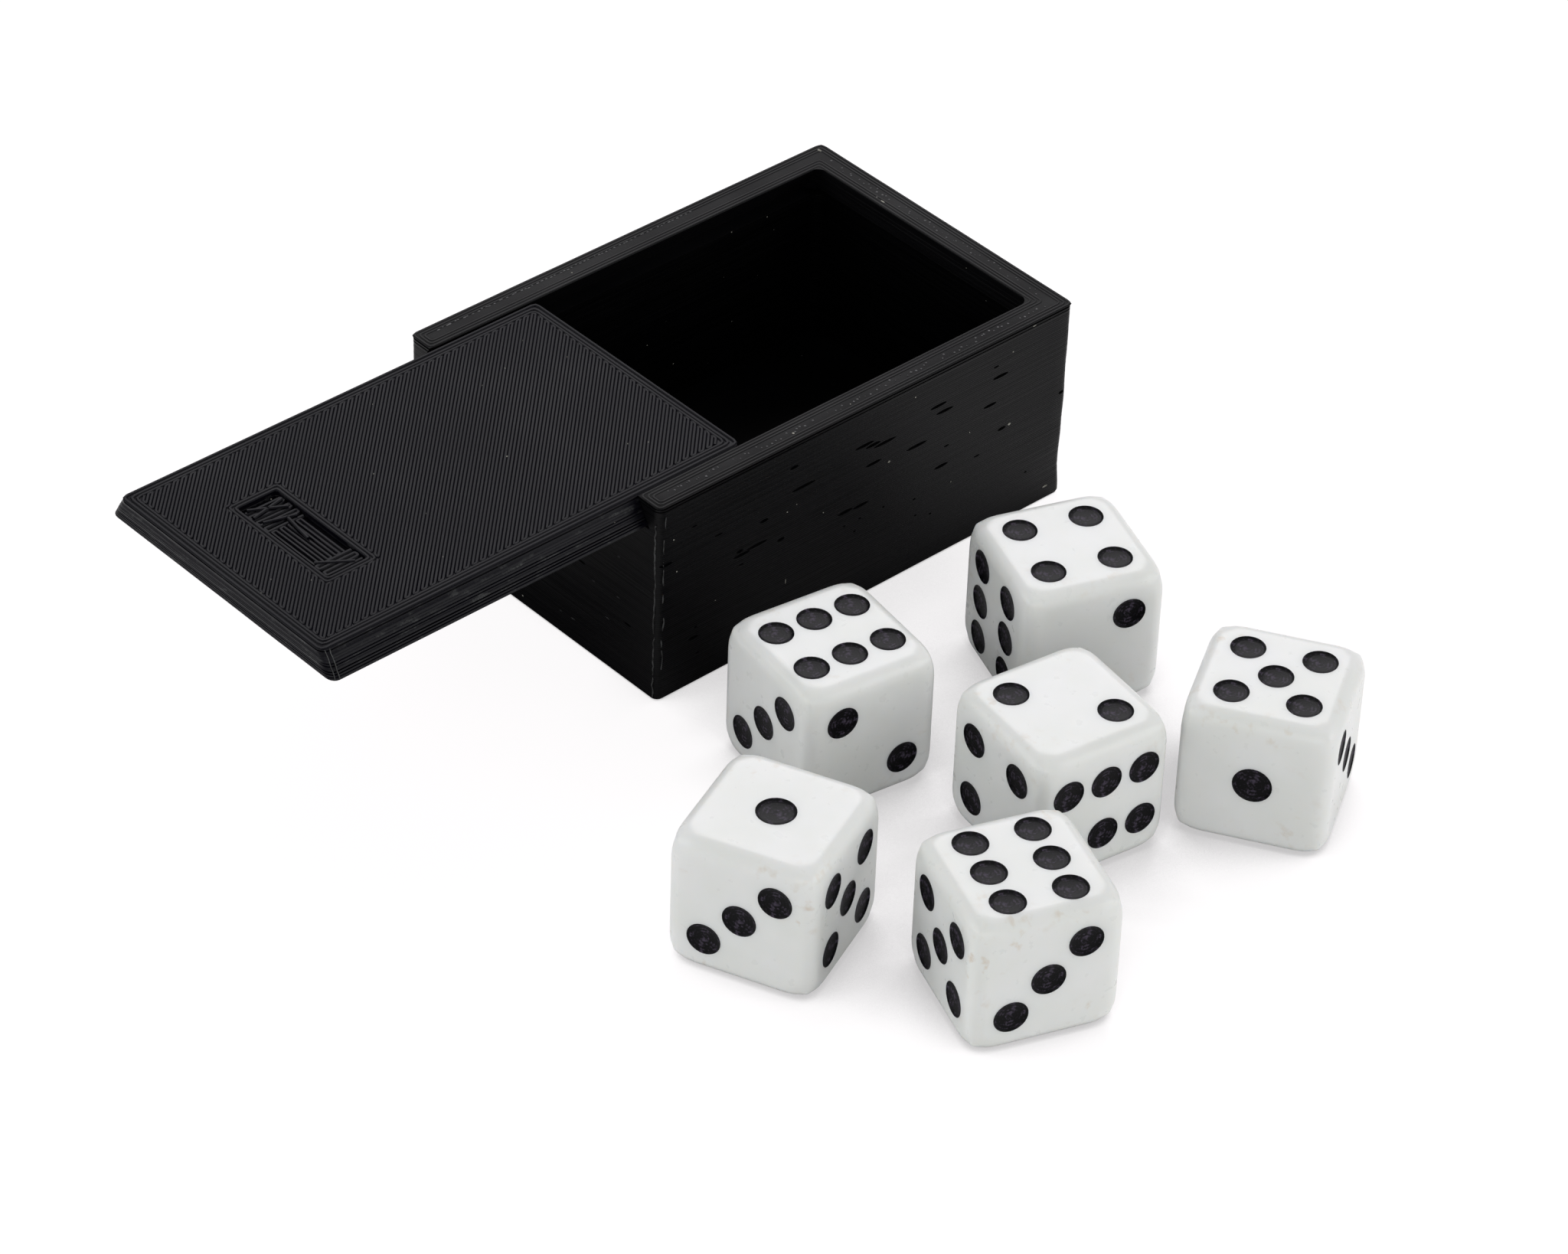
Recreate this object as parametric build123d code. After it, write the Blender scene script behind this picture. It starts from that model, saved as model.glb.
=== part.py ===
from build123d import *
import math
import os

# Dice storage chest: a printed box with a dovetail sliding lid, and the six dice that it holds.
# Millimetres. The origin is the middle of the box's underside. +Z is up, the lid slides out towards -Y,
# and the dice stand on the table on the +X side.

# ---- Dice ----
DIE_SIZE = 16.0             # across the flats of a die
DIE_EDGE_RADIUS = 1.5       # rounding of every edge of a die
SPOT_DIAMETER = 3.7         # dished spots on the two to six faces
ACE_DIAMETER = 4.15         # the larger single spot
SPOT_DEPTH = 0.55           # deepest point of a spot, at its middle
SPOT_RIM_DEPTH = 0.4        # depth of a spot's floor where it meets its wall
SPOT_DRAFT = 0.22           # how far a spot's wall leans in from rim to floor
INLAY_THICKNESS = 0.15      # the black fill that lines each spot
SPOT_OFFSET = 3.75          # face centre to a corner spot, along each edge
SIX_PITCH = 4.6             # spot to spot along the two rows of three
SIX_ROW_OFFSET = 3.3        # face centre to each row of three

# ---- Box ----
DICE_ACROSS = 2             # dice side by side in the box
DICE_ALONG = 3              # dice end to end in the box
SIDE_PLAY = 1.6             # spare width beside the stored dice
END_PLAY = 3.7              # spare length beyond the stored dice
HEADROOM = 2.3              # from the stored dice up to the lid's ledge
WALL = 3.4                  # side and end walls, and the ledge that carries the lid
FLOOR = 3.4                 # floor of the box
GROOVE_DEPTH = 3.3          # ledge up to the rim
BEVEL_DEGREES = 30.0        # lean of the dovetail from the vertical
OUTER_CORNER_RADIUS = 0.9   # upright outer corners
INNER_CORNER_RADIUS = 1.2   # upright inner corners
RIM_EDGE = 0.3              # chamfer round the rim's outer edge
FOOT_EDGE = 0.4             # chamfer round the underside

# ---- Lid ----
LID_THICKNESS = 3.1         # underside to top
LID_SEAT_GAP = 0.15         # clearance under the lid
LID_SIDE_GAP = 0.35         # clearance to each rail, measured level
LID_END_GAP = 0.3           # clearance to the back wall when the lid is home
LID_CORNER_RADIUS = 1.0     # upright corners of the lid
LID_EDGE = 0.4              # chamfer round the lid's top
LID_DRAWN = 40.6            # how far the lid stands out from its home position
RECESS_WIDTH = 14.8         # thumb recess, across the lid
RECESS_LENGTH = 5.0         # thumb recess, along the lid
RECESS_DEPTH = 1.0          # thumb recess, down from the lid's top
RECESS_INSET = 8.0          # lid's front edge to the recess
RECESS_CORNER_RADIUS = 0.4  # upright corners of the recess

# ---- Where each die stands ----
# Name, place of its centre counted in die widths from the middle of the box's right side, turn in degrees,
# and the ways that its one and its two face before that turn.
DICE = [
    ("die_1", (1.135, -1.355), -8.9, "down", "right"),
    ("die_2", (1.385, 0.475), -20.4, "back", "right"),
    ("die_3", (2.555, -0.690), -8.9, "left", "up"),
    ("die_4", (3.225, 0.525), 31.5, "front", "down"),
    ("die_5", (2.205, -2.780), 23.1, "up", "left"),
    ("die_6", (3.525, -1.985), -20.3, "down", "back"),
]
WAYS = {
    "up": (0, 0, 1),
    "down": (0, 0, -1),
    "front": (0, -1, 0),
    "back": (0, 1, 0),
    "right": (1, 0, 0),
    "left": (-1, 0, 0),
}

# ---- Sizes that follow ----
CAVITY_WIDTH = DICE_ACROSS * DIE_SIZE + SIDE_PLAY
CAVITY_LENGTH = DICE_ALONG * DIE_SIZE + END_PLAY
CAVITY_DEPTH = DIE_SIZE + HEADROOM
BOX_WIDTH = CAVITY_WIDTH + 2 * WALL
BOX_LENGTH = CAVITY_LENGTH + 2 * WALL
LEDGE_HEIGHT = FLOOR + CAVITY_DEPTH
BOX_HEIGHT = LEDGE_HEIGHT + GROOVE_DEPTH
BEVEL_SLOPE = math.tan(math.radians(BEVEL_DEGREES))
MOUTH_Y = -BOX_LENGTH / 2
BACK_WALL_Y = BOX_LENGTH / 2 - WALL
LID_LENGTH = BACK_WALL_Y - MOUTH_Y - LID_END_GAP
CUT_THROUGH = 1.0           # how far a cut runs past the surface that it opens


def half_groove(height):
    """Half the width between the rails at a height above the box's underside."""
    return CAVITY_WIDTH / 2 + (BOX_HEIGHT - height) * BEVEL_SLOPE


def dovetail(low, high, side_gap, front, back):
    """A bar of the rails' section, drawn in by side_gap at both sides, from front to back along Y."""
    low_half = half_groove(low) - side_gap
    high_half = half_groove(high) - side_gap
    corners = [(-low_half, low), (low_half, low), (high_half, high), (-high_half, high)]
    section = Plane.XZ.offset(-back) * make_face(Polyline(*corners, close=True))
    return extrude(section, back - front)


def upright_edges(solid, at_back_only=False):
    """The edges that rise from the underside to the top, at both ends or at the back end alone."""
    rising = [edge for edge in solid.edges() if abs(edge.tangent_at(0).Z) > 0.5]
    if at_back_only:
        back = solid.bounding_box().max.Y
        rising = [edge for edge in rising if abs(edge.center().Y - back) < CUT_THROUGH / 10]
    return rising


def make_box():
    outline = RectangleRounded(BOX_WIDTH, BOX_LENGTH, OUTER_CORNER_RADIUS)
    body = extrude(outline, BOX_HEIGHT)
    body = chamfer(body.faces().sort_by(Axis.Z)[-1].edges(), RIM_EDGE)
    body = chamfer(body.faces().sort_by(Axis.Z)[0].edges(), FOOT_EDGE)
    pocket = RectangleRounded(CAVITY_WIDTH, CAVITY_LENGTH, INNER_CORNER_RADIUS)
    body -= Pos(0, 0, FLOOR) * extrude(pocket, BOX_HEIGHT - FLOOR + CUT_THROUGH)
    groove = dovetail(LEDGE_HEIGHT, BOX_HEIGHT + CUT_THROUGH, 0, MOUTH_Y - CUT_THROUGH, BACK_WALL_Y)
    groove = fillet(upright_edges(groove, at_back_only=True), INNER_CORNER_RADIUS)
    return body - groove


def make_lid():
    underside = LEDGE_HEIGHT + LID_SEAT_GAP
    top = underside + LID_THICKNESS
    front = MOUTH_Y - LID_DRAWN
    plate = dovetail(underside, top, LID_SIDE_GAP, front, front + LID_LENGTH)
    plate = fillet(upright_edges(plate), LID_CORNER_RADIUS)
    plate = chamfer(plate.faces().sort_by(Axis.Z)[-1].edges(), LID_EDGE)
    recess = extrude(RectangleRounded(RECESS_WIDTH, RECESS_LENGTH, RECESS_CORNER_RADIUS), top)
    recess_y = front + RECESS_INSET + RECESS_LENGTH / 2
    return plate - Pos(0, recess_y, top - RECESS_DEPTH) * recess


# ---- One die, with its one up, its two to the right and its three to the back ----
# The way each face looks, and the way its spots' first coordinate runs.
FACES = {
    1: ("up", "right"),
    2: ("right", "back"),
    3: ("back", "up"),
    4: ("front", "up"),
    5: ("left", "back"),
    6: ("down", "right"),
}


def spots_on(value):
    """Places of the spots on the face of that value."""
    centre = [(0, 0)]
    diagonal = [(SPOT_OFFSET, -SPOT_OFFSET), (-SPOT_OFFSET, SPOT_OFFSET)]
    square = [(u, v) for u in (-SPOT_OFFSET, SPOT_OFFSET) for v in (-SPOT_OFFSET, SPOT_OFFSET)]
    rows = [(u, v) for u in (-SIX_ROW_OFFSET, SIX_ROW_OFFSET) for v in (-SIX_PITCH, 0, SIX_PITCH)]
    return {1: centre, 2: diagonal, 3: diagonal + centre, 4: square, 5: square + centre, 6: rows}[value]


def turned(points):
    """The solid of revolution about Z of an outline of (radius, height) points."""
    return revolve(Plane.XZ * make_face(Polyline(*points, close=True)), Axis.Z)


def spot_cutter(radius):
    floor_radius = radius - SPOT_DRAFT
    return turned([
        (0, CUT_THROUGH),
        (0, -SPOT_DEPTH),
        (floor_radius, -SPOT_RIM_DEPTH),
        (radius, 0),
        (radius, CUT_THROUGH),
    ])


def spot_inlay(radius):
    floor_radius = radius - SPOT_DRAFT
    return turned([
        (0, -SPOT_DEPTH),
        (floor_radius, -SPOT_RIM_DEPTH),
        (radius, 0),
        (radius - INLAY_THICKNESS, 0),
        (floor_radius - INLAY_THICKNESS, INLAY_THICKNESS - SPOT_RIM_DEPTH),
        (0, INLAY_THICKNESS - SPOT_DEPTH),
    ])


def on_spots(make_spot):
    """One copy of the spot's solid at each of the 21 spots of a die centred at the origin."""
    copies = []
    for value, (facing, first) in FACES.items():
        radius = (ACE_DIAMETER if value == 1 else SPOT_DIAMETER) / 2
        centre = Vector(*WAYS[facing]) * (DIE_SIZE / 2)
        face = Plane(origin=centre, x_dir=WAYS[first], z_dir=WAYS[facing])
        spot = make_spot(radius)
        copies += [face.location * Pos(u, v, 0) * spot for u, v in spots_on(value)]
    return copies


def make_die():
    cube = Box(DIE_SIZE, DIE_SIZE, DIE_SIZE)
    cube = fillet(cube.edges(), DIE_EDGE_RADIUS)
    return cube - on_spots(spot_cutter)


def die_location(place, turn, one, two):
    across, along = place
    centre = Pos(BOX_WIDTH / 2 + across * DIE_SIZE, along * DIE_SIZE, DIE_SIZE / 2)
    facing = Plane(origin=(0, 0, 0), x_dir=WAYS[two], z_dir=WAYS[one])
    return centre * Rot(0, 0, turn) * facing.location


# ---- One file for each piece ----
def write(name, shape):
    shape.label = name
    export_step(shape, f"parts/{name}.step")


os.makedirs("parts", exist_ok=True)
write("box", make_box())
write("lid", make_lid())
plain_die = make_die()
inlays = Compound(children=on_spots(spot_inlay))
for name, place, turn, one, two in DICE:
    location = die_location(place, turn, one, two)
    write(name, location * plain_die)
    write(f"{name}_pips", location * inlays)
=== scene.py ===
import bmesh
import bpy
import math
import random
from mathutils import Matrix, Vector


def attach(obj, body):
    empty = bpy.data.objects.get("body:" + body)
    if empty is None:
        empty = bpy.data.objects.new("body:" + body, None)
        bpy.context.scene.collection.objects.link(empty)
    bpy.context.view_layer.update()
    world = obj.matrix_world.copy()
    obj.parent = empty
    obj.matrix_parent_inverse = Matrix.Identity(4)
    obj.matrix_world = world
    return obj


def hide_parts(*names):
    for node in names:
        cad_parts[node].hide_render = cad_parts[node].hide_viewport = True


# Dice storage chest, dressed for the camera: the printed box, its sliding lid and the six dice.
# Sizes are in millimetres unless a name says otherwise, and MM turns them into Blender's metres.

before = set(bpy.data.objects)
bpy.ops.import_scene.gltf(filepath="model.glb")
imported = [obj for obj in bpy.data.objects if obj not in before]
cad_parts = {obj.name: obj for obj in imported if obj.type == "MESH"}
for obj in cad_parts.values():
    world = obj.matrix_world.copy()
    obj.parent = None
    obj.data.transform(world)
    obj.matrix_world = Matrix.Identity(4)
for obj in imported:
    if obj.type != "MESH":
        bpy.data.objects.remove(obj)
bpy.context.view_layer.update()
MM = 0.001
CUT_THRESHOLD = 1e-6        # in metres, finer than any groove
chance = random.Random(16)

# ---- Sizes that the CAD part has ----
DIE_SIZE = 16.0
SPOT_RADIUS = 1.85
ACE_RADIUS = 2.075
SPOT_OFFSET = 3.75
SIX_PITCH = 4.6
SIX_ROW_OFFSET = 3.3
HALF_WIDTH = 20.2           # box, across
HALF_LENGTH = 29.25         # box, along
HEIGHT = 25.0
WALL = 3.4
FLOOR_TOP = 3.4
LEDGE = 21.7
OUTER_CORNER = 0.9
INNER_CORNER = 1.2
RAIL_SLOPE = math.tan(math.radians(30.0))
LID_LOW = 21.85
LID_HIGH = 24.95
LID_FRONT = -69.85
LID_BACK = -15.05
LID_SIDE_GAP = 0.35
LID_CORNER = 1.0
RECESS_HALF_WIDTH = 7.4
RECESS_FRONT = -61.85
RECESS_BACK = -56.85
RECESS_DEPTH = 1.0
RECESS_CORNER = 0.4
LID_SEAT_GAP = 0.15
FOOT_EDGE = 0.4
SPOT_DRAFT = 0.22           # how far a spot's wall leans in
SPOT_RIM_DEPTH = 0.4        # depth of a spot's floor at its wall
SPOT_DEPTH = 0.55           # and in its middle

# ---- How the printer laid the plastic down ----
LAYER = 0.25                # one printed layer
GROOVE_LIP = 0.055          # half the width of the groove between two layers
BOX_GROOVE = 0.016          # depth of the groove between two layers of the box
LID_GROOVE = 0.085          # and of the lid
BOX_SHARES = (0.85, 1.0, 1.2)           # how deep a groove may be, as a share of the usual depth
LID_SHARES = (0.3, 1.0, 1.8)
BOX_LAYERS_TOP = 24.1       # the grooves end below this height
LID_LAYERS_TOP = 24.45
LID_DEEP_SEAM = (24.2, 0.05)            # height and extra depth of one groove round the lid
STROKE_PITCH = 0.38         # one printed stroke to the next
STROKE_WIDTH = 0.41         # each stroke runs into the next
STROKE_HEIGHT = 0.26
RIM_STROKE_WIDTH = 0.44     # the rim was pressed flatter, so its strokes are wider
RIM_STROKE_TOP = HEIGHT - 0.015
RIM_PLATE = HEIGHT - 0.05   # the box's body ends here, below the tops of its strokes
RIM_LOOPS = (0.2, 0.62, 1.0)            # edge of the rim to each loop that frames it
RIM_STEP_IN = 0.04          # keeps the outermost loop inside the walls
LID_LOOPS = (0.22, 0.76, 1.15)          # and of the lid, whose outermost loop stands apart
RECESS_LOOPS = (0.2, 0.62)  # edge of the thumb recess to its loops
FILL_STEP = 1.43            # edge of the lid to the turns of the filling strokes
RECESS_FILL_STEP = 0.9      # and edge of the recess to them
FILL_HEADING = 135
COLUMN = 2.2                # spacing of the upright cuts that let a wall waver
BOX_WAVER = (9.0, 0.035)    # length of the waves along a layer, and their depth
LID_WAVER = (7.0, 0.05)
WAVER_TALL = 0.32           # height of the waves
DOT_PITCH = 0.6             # spacing of the blobs along the rim
DOT_SHARE = 0.75            # how many of them show
DOT_WIDTHS = (0.14, 0.3)
DOT_STRAY = 0.35            # how far they lie from the middle of the rim
SECOND_ROW_END = 9.0        # the left rail has a row of longer blobs up to here

# Thin slots below a printed top: height above the table, width and depth.
RIM_SLOTS = ((24.78, 0.18, 0.32), (24.4, 0.12, 0.4))
LID_SLOTS = ((24.63, 0.14, 0.3),)

# ---- Wear of the dice ----
DIE_EDGE = 1.6              # rounding of the edges, a little more than the solid's
CORNER_CUTS = (4.7, 5.15, 5.6, 6.05)    # extra cuts, where the corners round off further
CORNER_PASSES = (3, 5, 8, 10)           # smoothing passes beyond each of them

# ---- Cutting and shading ----
CUT_THROUGH = 1.0           # how far a cut runs past the surface that it opens
ON_LEVEL = 0.002            # how near its level a point is found
NEAR_WALL = 0.35            # how near the outside a face counts as the outer wall
BODY_SMOOTH = 28            # degrees up to which each kind of piece is shaded smooth
STROKE_SMOOTH = 75
LID_STROKE_SMOOTH = 30      # smoother shading left dark marks on the long strokes
DIE_SMOOTH = 40
SPOT_SMOOTH = 50


# ---- Modelling helpers ----
def put(name, data):
    """A new object in the scene."""
    made = bpy.data.objects.new(name, data)
    bpy.context.scene.collection.objects.link(made)
    return made


def pick(*pieces):
    """Makes these the only pieces chosen, the first of them active."""
    bpy.ops.object.select_all(action="DESELECT")
    for piece in pieces:
        piece.select_set(True)
    bpy.context.view_layer.objects.active = pieces[0]


def edit(piece):
    pick(piece)
    bpy.ops.object.mode_set(mode="EDIT")


def done():
    bpy.ops.object.mode_set(mode="OBJECT")


def add(primitive, **options):
    """The piece that one of Blender's primitives makes, as the only one chosen."""
    bpy.ops.object.select_all(action="DESELECT")
    primitive(**options)
    return bpy.context.object


def block(name, low, high):
    """A cube primitive stretched from one corner to the other."""
    piece = add(bpy.ops.mesh.primitive_cube_add, size=1, location=[(a + b) / 2 * MM for a, b in zip(low, high)])
    piece.name = name
    piece.scale = [(b - a) * MM for a, b in zip(low, high)]
    bpy.ops.object.transform_apply()
    return piece


def choose(piece, kind, test):
    """Selects the verts, edges or faces of the opened piece that pass the test, which reads millimetres."""
    bpy.ops.mesh.select_mode(type=kind)
    bpy.ops.mesh.select_all(action="DESELECT")
    mesh = bmesh.from_edit_mesh(piece.data)
    for element in {"VERT": mesh.verts, "EDGE": mesh.edges, "FACE": mesh.faces}[kind]:
        if test([v.co / MM for v in ([element] if kind == "VERT" else element.verts)]):
            element.select_set(True)
    mesh.select_flush_mode()
    bmesh.update_edit_mesh(piece.data)


def upright(spots):
    return abs(spots[0].x - spots[1].x) + abs(spots[0].y - spots[1].y) < 0.01


def rising(spots):
    """Whether an edge climbs, straight or leaning."""
    return abs(spots[0].z - spots[1].z) > 1


def all_at(axis, value):
    return lambda spots: all(abs(p[axis] - value) < ON_LEVEL for p in spots)


def round_edges(piece, test, radius, segments):
    choose(piece, "EDGE", test)
    bpy.ops.mesh.bevel(offset=radius * MM, segments=segments, affect="EDGES")


def cut_out(piece, tool):
    """Cuts the tool out of the piece, and removes the tool."""
    pick(piece)
    change = piece.modifiers.new("cut", "BOOLEAN")
    change.operation = "DIFFERENCE"
    change.solver = "MANIFOLD"
    change.object = tool
    bpy.ops.object.modifier_apply(modifier=change.name)
    bpy.data.objects.remove(tool)


def join(pieces):
    """Puts all the pieces in the first one's mesh."""
    pick(*pieces)
    bpy.ops.object.join()
    return pieces[0]


def coated(piece, material):
    """Gives the whole piece one finish."""
    piece.data.materials.clear()
    piece.data.materials.append(material)
    return piece


def slice_at(axis, value):
    """A cut all round the opened piece, square to the axis."""
    normal = [float(n == axis) for n in range(3)]
    bpy.ops.mesh.select_all(action="SELECT")
    bpy.ops.mesh.bisect(plane_co=[n * value * MM for n in normal], plane_no=normal, threshold=CUT_THRESHOLD)


def cut_columns(axis, low, high):
    """Evenly spaced cuts through the opened piece, so that its walls can waver."""
    columns = int((high - low) / COLUMN)
    for n in range(1, columns):
        slice_at(axis, low + n * (high - low) / columns)


def smooth(piece, degrees):
    pick(piece)
    bpy.ops.object.shade_smooth_by_angle(angle=math.radians(degrees))


def finished(pieces, degrees, material):
    """The pieces as one, shaded smooth up to that angle and in one finish."""
    piece = join(pieces)
    smooth(piece, degrees)
    return coated(piece, material)


def lay_layers(piece, low, high, depth, depth_shares, deep=()):
    """Cuts the opened piece into printed layers and presses a groove between each two of them."""
    top_margin = 0.08
    count = int((high - low) / LAYER + 0.01)
    seams = [low + n * LAYER for n in range(1, count + 1) if low + n * LAYER < high - top_margin]
    for seam in seams:
        for step in (-GROOVE_LIP, 0, GROOVE_LIP):
            slice_at(2, seam + step)
    shares = {round(seam, 4): chance.choice(depth_shares) for seam in seams}
    for share in depth_shares:

        def on_seam(spots):
            nearest = low + round((spots[0].z - low) / LAYER) * LAYER
            return abs(spots[0].z - nearest) < ON_LEVEL and shares.get(round(nearest, 4)) == share

        choose(piece, "VERT", on_seam)
        bpy.ops.transform.shrink_fatten(value=-depth * share * MM)
    for seam, extra in deep:
        for reach in (GROOVE_LIP + 0.01, 0.02):
            choose(piece, "VERT", lambda spots: abs(spots[0].z - seam) < reach)
            bpy.ops.transform.shrink_fatten(value=-extra / 2 * MM)


def cut_slots(piece, half_x, front, back, slots):
    """Presses thin slots into the outer walls of the opened piece. Each slot is height, width and depth."""
    for height, width, depth in slots:
        slice_at(2, height - width / 2)
        slice_at(2, height + width / 2)

        def outside(spots):
            middle = sum(spots, Vector()) / len(spots)
            tall = max(p.z for p in spots) - min(p.z for p in spots)
            at_end = middle.y < front + NEAR_WALL or middle.y > back - NEAR_WALL
            at_wall = abs(middle.x) > half_x - NEAR_WALL or at_end
            return abs(middle.z - height) < width / 2 and tall > width * 0.5 and at_wall

        choose(piece, "FACE", outside)
        bpy.ops.mesh.extrude_region_shrink_fatten(TRANSFORM_OT_shrink_fatten={"value": -depth * MM})


def waver(piece, length, amount):
    """Lets the walls wander inwards, slowly along a layer and quickly from one layer to the next."""
    guide = put("waver guide", None)
    guide.scale = (length * MM, length * MM, WAVER_TALL * MM)
    bpy.context.view_layer.update()
    pattern = bpy.data.textures.new("layer waver", "CLOUDS")
    pattern.noise_scale = 1.0
    pattern.noise_depth = 1
    pick(piece)
    change = piece.modifiers.new("waver", "DISPLACE")
    change.texture = pattern
    change.texture_coords = "OBJECT"
    change.texture_coords_object = guide
    change.strength = amount * MM
    change.mid_level = 1.0
    bpy.ops.object.modifier_apply(modifier=change.name)
    bpy.data.objects.remove(guide)


# ---- Printed strokes ----
def eased(points, ease, closed):
    """Adds a point on each side of every corner, so that a spline turns there and runs straight between."""
    path = []
    for n, corner in enumerate(points):
        if not closed and n in (0, len(points) - 1):
            path.append(corner)
            continue
        legs = [other - corner for other in (points[n - 1], points[(n + 1) % len(points)])]
        before, after = (corner + leg.normalized() * min(ease, leg.length / 2.2) for leg in legs)
        path += [before, corner, after]
    return path


def wandered(place, wander):
    """The place, moved at random by no more than that along each of its axes."""
    return place + Vector([chance.uniform(-wander, wander) for _ in place])


def tube(name, knots, thickness, closed=False):
    """A tube along a curve through knots, each of which is a place and the share of the thickness there."""
    line = bpy.data.curves.new(name, "CURVE")
    line.dimensions = "3D"
    line.bevel_depth = thickness / 2 * MM
    line.bevel_resolution = 1
    line.resolution_u = 2
    line.use_fill_caps = True
    spline = line.splines.new("NURBS")
    spline.points.add(len(knots) - 1)
    for knot, (place, share) in zip(spline.points, knots):
        knot.co = (*(place * MM), 1)
        knot.radius = share
    spline.order_u = 3
    spline.use_cyclic_u = closed
    spline.use_endpoint_u = not closed
    piece = put(name, line)
    pick(piece)
    bpy.ops.object.convert(target="MESH")
    return piece


def stroke(name, points, top, closed=False, ease=0.3, width=STROKE_WIDTH, height=STROKE_HEIGHT, wander=0.01):
    """One printed stroke along level points, as a flattened tube whose crest is at that height."""
    path = eased([Vector(p) for p in points], ease, closed)
    piece = tube(name, [(Vector((*wandered(place, wander), 0)), 1.0) for place in path], width, closed)
    piece.scale.z = height / width
    piece.location.z = (top - height / 2) * MM
    bpy.ops.object.transform_apply()
    return piece


def bead(points, thickness, wander):
    """A thin wavering ridge of plastic along points that climb a wall."""
    return tube("bead", [(wandered(Vector(place), wander), chance.uniform(0.45, 1.1)) for place in points], thickness)


def climb(x, y, low, high, step, lean=0.0):
    """Points straight up a wall, or leaning in as the lid's sides do."""
    count = max(3, int((high - low) / step))
    return [(x - lean * (high - low) * n / count, y, low + (high - low) * n / count) for n in range(count + 1)]


def fleck(place, size, flat_axis):
    """A crumb that sticks to a face, flat along one axis."""
    flat_half, rough = 0.03, 0.012
    piece = add(bpy.ops.mesh.primitive_ico_sphere_add, subdivisions=1, radius=1)
    piece.scale = [(flat_half if axis == flat_axis else length / 2) * MM for axis, length in enumerate(size)]
    piece.location = Vector(place) * MM
    bpy.ops.object.transform_apply()
    edit(piece)
    bpy.ops.mesh.select_all(action="SELECT")
    bpy.ops.transform.vertex_random(offset=rough * MM, seed=chance.randrange(1000))
    done()
    return piece


def crossings(corners, along, across, level):
    """Where a line at that level crosses a convex outline, as two distances along it, or None."""
    found = []
    for n, start in enumerate(corners):
        end = corners[(n + 1) % len(corners)]
        a, b = start.dot(across) - level, end.dot(across) - level
        if a * b < 0:
            found.append(start.lerp(end, a / (a - b)).dot(along))
    return (min(found), max(found)) if len(found) == 2 else None


def filling(outline, heading, pitch=STROKE_PITCH, hole=None):
    """Paths that fill an outline back and forth, and leave a hole free."""
    outline = [Vector(p) for p in outline]
    hole = [Vector(p) for p in hole] if hole else None
    turn = math.radians(heading)
    along = Vector((math.cos(turn), math.sin(turn)))
    across = Vector((-math.sin(turn), math.cos(turn)))
    reach = [corner.dot(across) for corner in outline]
    paths, drawn = [], []
    count = int((max(reach) - min(reach)) / pitch)
    for n in range(count):
        level = min(reach) + (n + 0.5) * pitch
        whole = crossings(outline, along, across, level)
        if whole is None or whole[1] - whole[0] < pitch:
            continue
        gap = crossings(hole, along, across, level) if hole else None
        stretches = [(whole[0], gap[0]), (gap[1], whole[1])] if gap else [whole]
        if len(stretches) != len(drawn):
            paths += drawn
            drawn = [[] for _ in stretches]
        for path, ends in zip(drawn, stretches):
            for end in ends if n % 2 else reversed(ends):
                path.append(along * end + across * level)
    return [path for path in paths + drawn if len(path) > 1]


def rectangle(low_x, low_y, high_x, high_y, step=0.0):
    """The corners of a rectangle, drawn in by a step."""
    low_x, low_y, high_x, high_y = low_x + step, low_y + step, high_x - step, high_y - step
    return [(low_x, low_y), (high_x, low_y), (high_x, high_y), (low_x, high_y)]


# ---- Box ----
def half_groove(height):
    return HALF_WIDTH - WALL + (HEIGHT - height) * RAIL_SLOPE


def taper_block(name, low_half, high_half, low, high, front, back):
    """A bar along Y with sloping sides."""
    bar = block(name, (-low_half, front, low), (low_half, back, high))
    edit(bar)
    choose(bar, "FACE", all_at(2, high))
    bpy.ops.transform.resize(value=(high_half / low_half, 1, 1))
    return bar


# The axis that each side of the box faces along, and where the side is on it.
SIDES = {"right": (0, HALF_WIDTH), "left": (0, -HALF_WIDTH), "front": (1, -HALF_LENGTH), "back": (1, HALF_LENGTH)}


def gash(along, height, length, size, side):
    """A spindle that scores one side of the box where a layer came out thin."""
    tool = add(bpy.ops.mesh.primitive_uv_sphere_add, segments=10, ring_count=8, radius=1)
    (facing, wall), (tall, deep) = SIDES[side], size
    halves, place = [length / 2, length / 2, tall / 2], [along, along, height]
    halves[facing], place[facing] = deep, wall
    tool.scale = [half * MM for half in halves]
    tool.location = [distance * MM for distance in place]
    tool.rotation_euler[facing] = math.radians(chance.uniform(-1, 1))
    bpy.ops.object.transform_apply()
    return tool


# How tall and how deep the spindles of each kind of gash are.
PLAIN_GASH, FAINT_GASH, HIDDEN_GASH = (0.4, 0.7), (0.22, 0.3), (0.26, 0.3)
GASH_STRETCH = 1.2          # a spindle's thin ends don't show, so a plain one is made longer
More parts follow.
